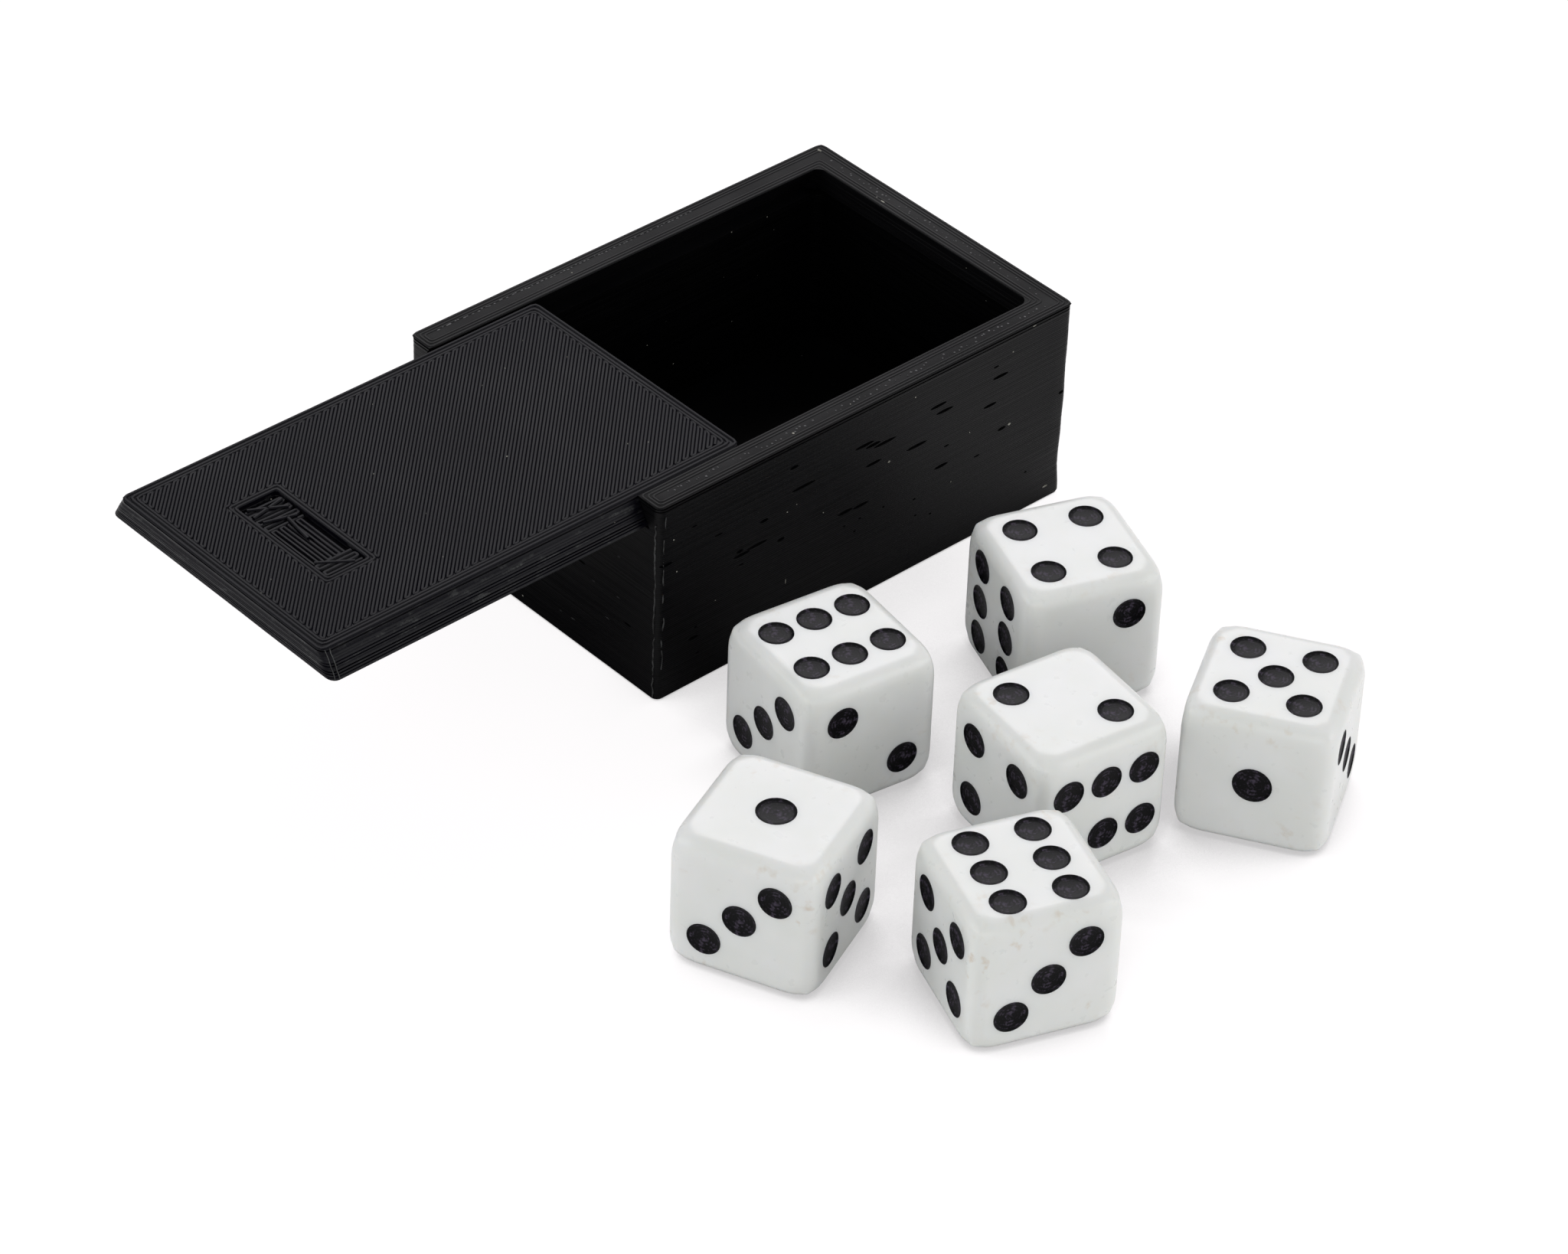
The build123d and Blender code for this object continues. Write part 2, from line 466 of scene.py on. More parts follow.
# Middle along the side, height above the table, and length of each gash that shows on the right side.
RIGHT_GASHES = [
    (-10.75, 21.8, 1.0), (-0.8, 20.0, 2.3), (0.45, 19.5, 1.8), (2.1, 19.05, 2.7), (-9.35, 18.7, 2.8),
    (-28.2, 17.5, 1.5), (9.75, 20.3, 2.0), (10.7, 19.25, 2.1), (18.8, 20.1, 1.9), (0.6, 17.05, 1.9),
    (6.8, 16.45, 2.5), (17.45, 16.85, 1.6), (-14.75, 16.8, 1.0), (-17.75, 13.85, 2.0), (-18.05, 14.4, 0.8),
    (-15.65, 14.1, 2.4), (-12.3, 13.2, 0.9), (-3.2, 12.45, 1.9), (-1.0, 12.3, 1.9), (10.6, 12.05, 1.7),
    (19.45, 12.9, 1.0), (28.3, 13.7, 0.7), (-24.25, 6.15, 1.2),
]
FAINT_GASHES = [
    (-21.05, 18.0, 1.2), (18.05, 21.6, 0.8), (-17.85, 12.6, 0.8), (15.9, 10.9, 0.9), (-24.45, 20.7, 0.8),
    (11.25, 14.4, 0.8), (-3.25, 10.6, 0.35), (-1.05, 10.6, 0.4), (2.35, 10.5, 0.35), (-1.75, 9.2, 0.4),
    (6.85, 9.4, 0.45), (-23.95, 7.4, 0.5), (-23.65, 3.9, 0.6), (9.35, 6.3, 0.4), (7.15, 7.1, 0.35), (23.55, 5.2, 0.4),
]
# The same kind of faults, made up for the other sides: how many, and how long they are.
HIDDEN_GASHES = {"left": 14, "back": 9, "front": 6}
HIDDEN_GASH_LENGTHS = (0.6, 2.2)
# Dust on the right side: along it, height above the table, length and height of each crumb.
RIGHT_FLECKS = [
    (2.85, 16.2, 0.4, 0.3), (20.55, 13.0, 0.5, 0.3), (-11.45, 7.3, 0.12, 0.7), (-26.75, 16.0, 0.2, 0.2),
    (-27.25, 20.3, 0.2, 0.15), (6.25, 23.0, 0.2, 0.15), (20.45, 22.5, 0.2, 0.15), (-11.55, 16.4, 0.18, 0.15),
    (-10.25, 16.8, 0.15, 0.15), (26.75, 1.8, 0.8, 0.25), (23.45, 24.55, 0.55, 0.2), (14.6, 14.6, 0.15, 0.15),
    (-21.3, 9.6, 0.15, 0.15), (-6.4, 13.9, 0.15, 0.15), (12.2, 9.2, 0.15, 0.2),
]
# Grey nicks on the open end: across it, and height above the table.
FRONT_NICKS = [(14.0, 15.5), (10.0, 10.0), (14.0, 10.2), (12.3, 6.5), (4.8, 3.0), (6.8, 3.1)]
# Dust on level tops: place, and length across and along.
RIM_FLECKS = [(-7.2, 26.6, 0.7, 0.2), (18.8, -9.8, 0.3, 0.3), (-18.2, -8.6, 0.2, 0.2), (-19.2, 28.1, 0.8, 0.35)]
LID_FLECKS = [
    (3.1, -35.2, 0.2, 0.25), (-6.4, -58.3, 0.15, 0.15), (-3.2, -47.6, 0.15, 0.2), (-9.1, -25.4, 0.3, 0.12),
    (9.3, -24.2, 0.15, 0.15), (4.2, -66.5, 0.12, 0.12), (-12.8, -40.1, 0.12, 0.15), (12.2, -51.0, 0.15, 0.12),
]
RIM_DUST = HEIGHT - 0.045   # where the crumbs on the rim lie, and those on the lid
LID_DUST = LID_HIGH - 0.03
# Ridges on the near corner: in from its two faces, lowest and highest point, spacing, thickness and wander.
BOX_RIDGES = [(0.62, 0.05, 0.5, 22.8, 0.4, 0.21, 0.1), (0.06, 0.75, 4.0, 23.6, 0.7, 0.17, 0.16)]
LID_RIDGES = [(0.0, 1.0, 0.25, 0.16, 0.05), (0.12, 0.55, 0.25, 0.12, 0.04)]    # without the lowest and highest
# Where the far right corner is worn: height, how far in, and how far round that.
FAR_CORNER_WEAR = ((16.5, 0.03, 3.0), (9.0, 0.06, 3.5), (4.5, 0.14, 3.5))
CORNER_INSET = 0.26         # from the planes of two faces to the rounded corner between them


def worked_gashes():
    """Every spindle that scores the box."""
    tools = [gash(y, z, length * GASH_STRETCH, PLAIN_GASH, "right") for y, z, length in RIGHT_GASHES]
    tools += [gash(y, z, length, FAINT_GASH, "right") for y, z, length in FAINT_GASHES]
    for side, count in HIDDEN_GASHES.items():
        reach = (HALF_LENGTH if side == "left" else HALF_WIDTH) - 3
        for n in range(count):
            along = -reach + 2 * reach * (n + chance.uniform(0.2, 0.8)) / count
            height = chance.uniform(4, LEDGE - 1)
            tools.append(gash(along, height, chance.uniform(*HIDDEN_GASH_LENGTHS), HIDDEN_GASH, side))
    return tools


def push(piece, place, shift, reach):
    """Moves the verts round a place, the nearest ones most."""
    place = Vector(place)
    choose(piece, "VERT", lambda spots: (spots[0] - place).length < 0.5)
    bpy.ops.transform.translate(value=[s * MM for s in shift], use_proportional_edit=True,
                                proportional_edit_falloff="SMOOTH", proportional_size=reach * MM)


def scatter(reach):
    """Where the blobs along one rail may be, with the width and the stray of each one that shows."""
    for n in range(int(2 * reach / DOT_PITCH)):
        along = -reach + (n + chance.uniform(0.15, 0.85)) * DOT_PITCH
        shows = chance.random() < DOT_SHARE
        yield along, (chance.uniform(*DOT_WIDTHS), chance.uniform(-DOT_STRAY, DOT_STRAY)) if shows else None


def rim_dots():
    """Small blobs along the middle of the rim, where the filling strokes turned."""
    middle_x, middle_y = HALF_WIDTH - WALL / 2, HALF_LENGTH - WALL / 2
    dots = []
    for y, blob in scatter(HALF_LENGTH - 2.5):
        if blob:
            dots.append((middle_x + blob[1], y, blob[0], blob[0]))
        if y < SECOND_ROW_END:
            dots.append((-middle_x - 0.5 + chance.uniform(-0.1, 0.1), y, 0.2, chance.uniform(0.3, 0.5)))
    for x, blob in scatter(middle_x - 1.5):
        if blob:
            dots.append((x, middle_y + blob[1], blob[0], blob[0]))
    return [fleck((x, y, RIM_PLATE), (across, along, 0), 2) for x, y, across, along in dots]


def coat_where(piece, material, test):
    """Gives the faces that pass the test, which reads a place in millimetres and a normal, another finish."""
    piece.data.materials.append(material)
    for face in piece.data.polygons:
        if test(face.center / MM, face.normal):
            face.material_index = len(piece.data.materials) - 1


def make_box(plastic, rim_plastic, rim_middle_plastic, cavity_shade_plastic, blob_plastic, ridge_highlight, dust):
    rim_edge = 0.05
    inner_x, inner_y = HALF_WIDTH - WALL, HALF_LENGTH - WALL
    above = HEIGHT + CUT_THROUGH
    body = block("box_body", (-HALF_WIDTH, -HALF_LENGTH, 0), (HALF_WIDTH, HALF_LENGTH, RIM_PLATE))
    edit(body)
    round_edges(body, upright, OUTER_CORNER, 5)
    round_edges(body, all_at(2, RIM_PLATE), rim_edge, 2)
    round_edges(body, all_at(2, 0), FOOT_EDGE, 2)
    done()
    pocket = block("pocket", (-inner_x, -inner_y, FLOOR_TOP), (inner_x, inner_y, above))
    edit(pocket)
    round_edges(pocket, upright, INNER_CORNER, 5)
    done()
    cut_out(body, pocket)
    rails = taper_block("rails", half_groove(LEDGE), half_groove(above), LEDGE, above,
                        -HALF_LENGTH - CUT_THROUGH, inner_y)
    round_edges(rails, lambda spots: rising(spots) and all(p.y > inner_y - 0.01 for p in spots), INNER_CORNER, 5)
    done()
    cut_out(body, rails)
    edit(body)
    lay_layers(body, 0, BOX_LAYERS_TOP, BOX_GROOVE, BOX_SHARES)
    cut_slots(body, HALF_WIDTH, -HALF_LENGTH, HALF_LENGTH, RIM_SLOTS)
    cut_columns(1, -HALF_LENGTH, HALF_LENGTH)
    cut_columns(0, -HALF_WIDTH, HALF_WIDTH)
    for height, shift, reach in FAR_CORNER_WEAR:
        push(body, (HALF_WIDTH - CORNER_INSET, HALF_LENGTH - CORNER_INSET, height), (-shift, -shift, 0), reach)
    done()
    waver(body, *BOX_WAVER)
    cut_out(body, join(worked_gashes()))
    smooth(body, BODY_SMOOTH)
    coated(body, plastic)
    coat_where(body, rim_middle_plastic, lambda place, normal: place.z > RIM_PLATE - 0.1 and normal.z > 0.9)

    # Painted shade: the walls and floor inside the box get a darker colour and less gloss, for the shade in the
    # cavity.
    def inside(place, normal):
        in_plan = abs(place.x) < inner_x + 0.1 and abs(place.y) < inner_y + 0.1
        return in_plan and FLOOR_TOP - 0.1 < place.z < LEDGE + 0.5

    coat_where(body, cavity_shade_plastic, inside)
    strokes = []
    for step in RIM_LOOPS:
        outer_x, outer_y = HALF_WIDTH - step - RIM_STEP_IN, HALF_LENGTH - step - RIM_STEP_IN
        near_x, near_y = inner_x + step, inner_y + step
        loop = [
            (outer_x, -outer_y), (outer_x, outer_y), (-outer_x, outer_y), (-outer_x, -outer_y),
            (-near_x, -outer_y), (-near_x, near_y), (near_x, near_y), (near_x, -outer_y),
        ]
        strokes.append(stroke("rim loop", loop, RIM_STROKE_TOP, closed=True, ease=0.8, width=RIM_STROKE_WIDTH))
    strokes = finished(strokes, STROKE_SMOOTH, rim_plastic)
    nicks = [fleck((x, -HALF_LENGTH, z), (chance.uniform(0.4, 0.9), 0, 0.14), 1) for x, z in FRONT_NICKS]
    # the rim blobs' grey is a painted highlight for their glints; the nicks keep their own grey
    dots = coated(join(rim_dots() + nicks), blob_plastic)
    # the ridges' light grey is a painted highlight for the light that catches the near corner
    ridges = finished([
        bead(climb(HALF_WIDTH - in_x, -HALF_LENGTH + in_y, low, high, step), thickness, wander)
        for in_x, in_y, low, high, step, thickness, wander in BOX_RIDGES
    ], STROKE_SMOOTH, ridge_highlight)
    crumbs = [fleck((HALF_WIDTH, y, z), (0, length, tall), 0) for y, z, length, tall in RIGHT_FLECKS]
    crumbs += [fleck((x, y, RIM_DUST), (across, along, 0), 2) for x, y, across, along in RIM_FLECKS]
    return join([body, strokes, dots, ridges, coated(join(crumbs), dust)])


# ---- Lid ----
RECESS_EDGES = (-RECESS_HALF_WIDTH, RECESS_FRONT, RECESS_HALF_WIDTH, RECESS_BACK)
# The patches of the recess's floor: start and end from its left end, then the strokes' heading, pitch, width,
# wander and height above the floor.
RECESS_PATCHES = [
    (0.2, 5.032, 90, 0.62, 0.46, 0.09, 0.66),
    (5.032, 12.136, 0, 0.52, 0.4, 0.03, 0.6),
    (12.136, 14.65, 90, 0.62, 0.48, 0.05, 0.78),
]
PATCH_MARGIN = 0.25         # front and back edge of the recess to the strokes' turns
# Start and end of the strands that came loose: from the middle of the lid, and from the recess's front edge.
LOOSE_STRANDS = [
    ((-6.6, 0.6), (-4.6, 4.4)), ((-5.2, 0.4), (-6.0, 4.6)), ((-4.0, 0.7), (-2.9, 4.2)),
    ((-3.2, 3.2), (0.9, 2.6)), ((4.6, 0.5), (6.9, 3.9)),
]


def lid_half(height):
    return half_groove(height) - LID_SIDE_GAP


def make_lid(plastic, side_plastic, ridge_highlight, dust):
    top_edge, foot_edge = 0.08, 0.12
    top_plate = LID_HIGH - STROKE_HEIGHT / 2
    body = taper_block("lid_body", lid_half(LID_LOW), lid_half(top_plate), LID_LOW, top_plate, LID_FRONT, LID_BACK)
    round_edges(body, rising, LID_CORNER, 5)
    round_edges(body, all_at(2, top_plate), top_edge, 2)
    round_edges(body, all_at(2, LID_LOW), foot_edge, 2)
    done()
    recess = block("recess", (-RECESS_HALF_WIDTH, RECESS_FRONT, LID_HIGH - RECESS_DEPTH),
                   (RECESS_HALF_WIDTH, RECESS_BACK, HEIGHT))
    edit(recess)
    round_edges(recess, upright, RECESS_CORNER, 3)
    done()
    cut_out(body, recess)
    edit(body)
    lay_layers(body, LID_LOW - LID_SEAT_GAP, LID_LAYERS_TOP, LID_GROOVE, LID_SHARES, deep=(LID_DEEP_SEAM,))
    cut_slots(body, lid_half(LID_SLOTS[0][0]), LID_FRONT, LID_BACK, LID_SLOTS)
    cut_columns(1, LID_FRONT, LID_BACK)
    cut_columns(0, -lid_half(LID_LOW), lid_half(LID_LOW))
    done()
    waver(body, *LID_WAVER)
    smooth(body, BODY_SMOOTH)
    coated(body, side_plastic)
    coat_where(body, plastic, lambda place, normal: abs(normal.z) > 0.9)
    edges = (-lid_half(LID_HIGH), LID_FRONT, lid_half(LID_HIGH), LID_BACK)
    strokes = [stroke("edge loop", rectangle(*edges, step), LID_HIGH, closed=True, ease=1.2, wander=0.012)
               for step in LID_LOOPS]
    strokes += [stroke("recess loop", rectangle(*RECESS_EDGES, -step), LID_HIGH, closed=True, ease=0.8, wander=0.012)
                for step in RECESS_LOOPS]
    hole = rectangle(*RECESS_EDGES, -RECESS_FILL_STEP)
    strokes += [stroke("lid fill", path, LID_HIGH)
                for path in filling(rectangle(*edges, FILL_STEP), FILL_HEADING, hole=hole)]
    strokes = finished(strokes + make_recess_strokes(), LID_STROKE_SMOOTH, plastic)
    low, high = LID_LOW + 0.2, LID_HIGH - 0.15
    # the ridges' light grey is a painted highlight for the light that catches the near corner
    ridges = finished([
        bead(climb(lid_half(low) - in_x, LID_FRONT + in_y, low, high, step, RAIL_SLOPE), thickness, wander)
        for in_x, in_y, step, thickness, wander in LID_RIDGES
    ], STROKE_SMOOTH, ridge_highlight)
    crumbs = [fleck((x, y, LID_DUST), (across, along, 0), 2) for x, y, across, along in LID_FLECKS]
    return join([body, strokes, ridges, coated(join(crumbs), dust)])


def make_recess_strokes():
    """The strokes on the floor of the thumb recess, and the strands that came loose from it."""
    floor = LID_HIGH - RECESS_DEPTH
    front, back = RECESS_FRONT + PATCH_MARGIN, RECESS_BACK - PATCH_MARGIN
    parts = []
    for start, end, heading, pitch, width, wander, top in RECESS_PATCHES:
        patch = rectangle(start - RECESS_HALF_WIDTH, front, end - RECESS_HALF_WIDTH, back)
        for path in filling(patch, heading, pitch=pitch):
            parts.append(stroke("recess fill", path, floor + top, width=width, height=0.36, wander=wander))
    for ends in LOOSE_STRANDS:
        path = [(x, RECESS_FRONT + y) for x, y in ends]
        parts.append(stroke("loose strand", path, floor + 0.9, width=0.4, height=0.3, wander=0.05))
    return parts


# ---- Dice ----
WAYS = {
    "up": (0, 0, 1), "down": (0, 0, -1), "front": (0, -1, 0), "back": (0, 1, 0), "right": (1, 0, 0),
    "left": (-1, 0, 0)
}
# Name, middle of the die on the table, turn in degrees, and the ways that its one and its two face before the turn.
DICE = [
    ("die_1", (38.36, -21.68), -8.9, "down", "right"),
    ("die_2", (42.36, 7.6), -20.4, "back", "right"),
    ("die_3", (61.08, -11.04), -8.9, "left", "up"),
    ("die_4", (71.8, 8.4), 31.5, "front", "down"),
    ("die_5", (55.48, -44.48), 23.1, "up", "left"),
    ("die_6", (76.6, -31.76), -20.3, "down", "back"),
]
# The way that each face looks, and the way that its spots' first coordinate runs.
FACES = {
    1: ("up", "right"), 2: ("right", "back"), 3: ("back", "up"), 4: ("front", "up"), 5: ("left", "back"),
    6: ("down", "right")
}
# Radius as a share of the spot's, and depth, of the rings that make the dished spot.
DISH_RINGS = [
    (0.975, 0.02), (0.945, 0.07), (0.905, 0.12), (0.84, 0.16), (0.7, 0.2), (0.48, 0.24), (0.24, 0.265), (0, 0.275)
]


def turn_to(z_way, x_way):
    """The rotation that points Z and X those ways."""
    z, x = Vector(WAYS[z_way]), Vector(WAYS[x_way])
    return Matrix((x, z.cross(x), z)).transposed().to_4x4()


def spots_on(value):
    centre = [(0, 0)]
    diagonal = [(SPOT_OFFSET, -SPOT_OFFSET), (-SPOT_OFFSET, SPOT_OFFSET)]
    square = [(u, v) for u in (-SPOT_OFFSET, SPOT_OFFSET) for v in (-SPOT_OFFSET, SPOT_OFFSET)]
    rows = [(u, v) for u in (-SIX_ROW_OFFSET, SIX_ROW_OFFSET) for v in (-SIX_PITCH, 0, SIX_PITCH)]
    return {1: centre, 2: diagonal, 3: diagonal + centre, 4: square, 5: square + centre, 6: rows}[value]


def copy_of(piece, name, place):
    """A copy with its own mesh, moved and turned in that mesh."""
    made = piece.copy()
    made.data = piece.data.copy()
    made.name = name
    made.data.transform(place)
    bpy.context.scene.collection.objects.link(made)
    return made


def on_every_spot(master):
    """One copy of the master at each of the 21 spots, as one mesh."""
    copies = []
    for value, (facing, first) in FACES.items():
        radius = ACE_RADIUS if value == 1 else SPOT_RADIUS
        for u, v in spots_on(value):
            place = (turn_to(facing, first) @ Matrix.Translation(Vector((u, v, DIE_SIZE / 2)) * MM)
                     @ Matrix.Diagonal((radius / SPOT_RADIUS, radius / SPOT_RADIUS, 1, 1)))
            copies.append(copy_of(master, "spot copy", place))
    bpy.data.objects.remove(master)
    return join(copies)


def mark_places(piece, name, size):
    """Keeps where each vertex lies, as a share of that size, for the materials to read."""
    places = piece.data.attributes.new(name, "FLOAT_VECTOR", "POINT")
    for vertex, value in zip(piece.data.vertices, places.data):
        value.vector = vertex.co / MM / size


def make_die():
    half = DIE_SIZE / 2
    die = block("die", (-half,) * 3, (half,) * 3)
    edit(die)
    bpy.ops.mesh.bevel(offset=DIE_EDGE * MM, segments=8, affect="EDGES")
    for axis in range(3):
        for level in CORNER_CUTS:
            slice_at(axis, level)
            slice_at(axis, -level)
    for level, passes in zip(CORNER_CUTS, CORNER_PASSES):
        choose(die, "VERT", lambda spots: all(abs(c) > level + 0.1 for c in spots[0]))
        bpy.ops.mesh.vertices_smooth(factor=0.5, repeat=passes)
    done()
    cutter_tall, cutter_lean = 1.0, 0.55
    floor_radius = SPOT_RADIUS - SPOT_DRAFT
    cutter = add(bpy.ops.mesh.primitive_cone_add, vertices=32, radius1=floor_radius * MM,
                 radius2=(floor_radius + cutter_lean) * MM, depth=cutter_tall * MM,
                 location=(0, 0, (cutter_tall / 2 - SPOT_RIM_DEPTH) * MM))
    bpy.ops.object.transform_apply()
    edit(cutter)
    choose(cutter, "FACE", all_at(2, -SPOT_RIM_DEPTH))
    bpy.ops.mesh.poke(offset=0)
    choose(cutter, "VERT", lambda spots: spots[0].z < 0.01 - SPOT_RIM_DEPTH and spots[0].xy.length < 0.01)
    bpy.ops.transform.translate(value=(0, 0, (SPOT_RIM_DEPTH - SPOT_DEPTH) * MM))
    done()
    cut_out(die, on_every_spot(cutter))
    edit(die)
    bpy.ops.mesh.select_all(action="SELECT")
    bpy.ops.mesh.remove_doubles(threshold=CUT_THRESHOLD)
    done()
    mark_places(die, "die_place", half)
    return die


def make_spots():
    """The dished fill of all the spots of a die."""
    thickness = 0.2
    spot = add(bpy.ops.mesh.primitive_circle_add, vertices=32, radius=SPOT_RADIUS * MM, fill_type="NOTHING")
    edit(spot)
    share, depth = 1.0, 0.0
    for next_share, next_depth in DISH_RINGS:
        bpy.ops.mesh.extrude_region_move(TRANSFORM_OT_translate={"value": (0, 0, (depth - next_depth) * MM)})
        if next_share:
            bpy.ops.transform.resize(value=(next_share / share, next_share / share, 1))
        share, depth = next_share, next_depth
    bpy.ops.mesh.merge(type="CENTER")
    bpy.ops.mesh.select_all(action="SELECT")
    bpy.ops.mesh.normals_make_consistent(inside=False)
    done()
    if sum(face.normal.z for face in spot.data.polygons) < 0:
        edit(spot)
        bpy.ops.mesh.select_all(action="SELECT")
        bpy.ops.mesh.flip_normals()
        done()
    mark_places(spot, "spot_place", SPOT_RADIUS)
    pick(spot)
    wall = spot.modifiers.new("thickness", "SOLIDIFY")
    wall.thickness = thickness * MM
    wall.offset = -1
    bpy.ops.object.modifier_apply(modifier=wall.name)
    return on_every_spot(spot)


# ---- Materials ----
DUST = (0.35, 0.34, 0.3)
# painted shade: a near-black for the walls and floor inside the box, where shade falls
CAVITY_SHADE_BLACK = (0.0003, 0.0003, 0.0003)
BLACK_DARK = (0.0014, 0.0014, 0.0017)
BLACK_LIGHT = (0.0026, 0.0025, 0.003)
LID_BLACK = (0.0018, 0.0016, 0.0036)
LID_STREAK = (0.007, 0.0066, 0.009)
# grey of the scuffs on the lid's sides, and a painted highlight along the ridges of the near corners
WORN_AND_HIGHLIGHT_GREY = (0.046, 0.047, 0.048)
# lighter grey: a painted highlight for the glints of the rim's blobs, and the own grey of the nicks on the open end
BLOB_GREY = (0.018, 0.018, 0.02)
DIE_WHITE = (0.82, 0.83, 0.81)
DIE_MILKY = (0.85, 0.855, 0.85)
DIE_STAIN = (0.56, 0.42, 0.27)
SPOT_DARK = (0.002, 0.002, 0.0025)
# painted sheen: a lighter purple-grey that stands in for the light that the dished spots reflect
SPOT_PAINTED_SHEEN = (0.058, 0.047, 0.07)
STREAK_DRIFT = 90.0         # how fast a streak changes along its layer, per metre
SCUFF_DRIFT = 420.0         # and a scuff
DUST_SPACING = 1.7          # in millimetres
DUST_SHARE = 0.16           # how many places hold a speck


def link(source, target):
    source.id_data.links.new(source, target)


def set_sockets(node, constants):
    """Puts constants on the node's sockets. An underscore stands for a space in a socket's name."""
    for socket, value in constants.items():
        node.inputs[socket.replace("_", " ")].default_value = value
    return node


def new_node(tree, kind, **constants):
    return set_sockets(tree.nodes.new("ShaderNode" + kind), constants)


def new_material(name, specular, **constants):
    """A material, its node tree and its shader, with those constants on the shader's sockets."""
    material = bpy.data.materials.new(name)
    material.use_nodes = True
    shader = material.node_tree.nodes["Principled BSDF"]
    return material, material.node_tree, set_sockets(shader, {"Specular IOR Level": specular, **constants})


def group_start(name, inputs, outputs):
    """A node group that takes a place and those values and puts out values, its inner start and end nodes."""
    tree = bpy.data.node_groups.new(name, "ShaderNodeTree")
    tree.interface.new_socket("Place", in_out="INPUT", socket_type="NodeSocketVector")
    for socket, value in inputs.items():
        tree.interface.new_socket(socket, in_out="INPUT", socket_type="NodeSocketFloat").default_value = value
    for socket in outputs:
        tree.interface.new_socket(socket, in_out="OUTPUT", socket_type="NodeSocketFloat")
    return tree, tree.nodes.new("NodeGroupInput"), tree.nodes.new("NodeGroupOutput")


def maths(operation, *values):
    sockets = [value for value in values if not isinstance(value, (int, float))]
    node = new_node(sockets[0].id_data, "Math")
    node.operation = operation
    for socket, value in zip(node.inputs, values):
        if value in sockets:
            link(value, socket)
        else:
            socket.default_value = value
    return node.outputs[0]


def vector_maths(operation, source, constant=(0, 0, 0)):
    node = new_node(source.id_data, "VectorMath")
    node.operation = operation
    node.inputs[1].default_value = constant
    link(source, node.inputs[0])
    return node


def object_place(tree):
    return new_node(tree, "TexCoord").outputs["Object"]


def marked_place(tree, name):
    """What mark_places kept under that name."""
    node = new_node(tree, "Attribute")
    node.attribute_name = name
    return node.outputs["Vector"]


def noise(place, scale, detail=2.0, roughness=0.5):
    node = new_node(place.id_data, "TexNoise", Scale=scale, Detail=detail, Roughness=roughness)
    link(place, node.inputs["Vector"])
    return node.outputs["Fac"]


def make_streaks():
    """Layer streaks: a value that drifts along each printed layer and jumps from one layer to the next."""
    tree, start, end = group_start("layer streaks", {"Drift": STREAK_DRIFT}, ["Streak", "Grain"])
    jump, grain_scale = 3.7, 4200.0
    parts = new_node(tree, "SeparateXYZ")
    link(start.outputs["Place"], parts.inputs[0])
    layer = maths("FLOOR", maths("DIVIDE", parts.outputs["Z"], LAYER * MM))
    place = new_node(tree, "CombineXYZ")
    for axis in "XY":
        link(maths("MULTIPLY", parts.outputs[axis], start.outputs["Drift"]), place.inputs[axis])
    link(maths("MULTIPLY", layer, jump), place.inputs["Z"])
    link(noise(place.outputs[0], 1.0, 3.0), end.inputs["Streak"])
    link(noise(start.outputs["Place"], grain_scale), end.inputs["Grain"])
    return tree


def make_specks():
    """Dust: a mask of small scattered flecks, of which the size is a share of the spacing."""
    tree, start, end = group_start("dust specks", {"Size": 0.05}, ["Mask"])
    cells = new_node(tree, "TexVoronoi")
    cells.inputs["Scale"].default_value = 1 / (DUST_SPACING * MM)
    link(start.outputs["Place"], cells.inputs["Vector"])
    parts = new_node(tree, "SeparateColor")
    link(cells.outputs["Color"], parts.inputs[0])
    reach = maths("MULTIPLY", maths("ADD", parts.outputs["Green"], 0.3), start.outputs["Size"])
    near = maths("LESS_THAN", cells.outputs["Distance"], reach)
    picked = maths("LESS_THAN", parts.outputs["Red"], DUST_SHARE)
    link(maths("MULTIPLY", near, picked), end.inputs["Mask"])
    return tree


def place_group(tree, group, **values):
    node = new_node(tree, "Group")
    node.node_tree = group
    link(object_place(tree), node.inputs["Place"])
    return set_sockets(node, values)


def ramp(source, low, high, from_low=0.0, from_high=1.0):
    node = new_node(source.id_data, "MapRange", From_Min=from_low, From_Max=from_high, To_Min=low, To_Max=high)
    link(source, node.inputs["Value"])
    return node.outputs["Result"]


def blend_colours(factor, first, second):
    node = new_node(factor.id_data, "Mix")
    node.data_type = "RGBA"
    link(factor, node.inputs["Factor"])
    for socket, value in ((node.inputs[6], first), (node.inputs[7], second)):
        if isinstance(value, tuple):
            socket.default_value = (*value, 1)
        else:
            link(value, socket)
    return node.outputs[2]


def bump(shader, height, strength, distance=0.03):
    """Roughens the shader's surface. The distance is in millimetres."""
    node = new_node(height.id_data, "Bump", Strength=strength, Distance=distance * MM)
    link(height, node.inputs["Height"])
    link(node.outputs[0], shader.inputs["Normal"])


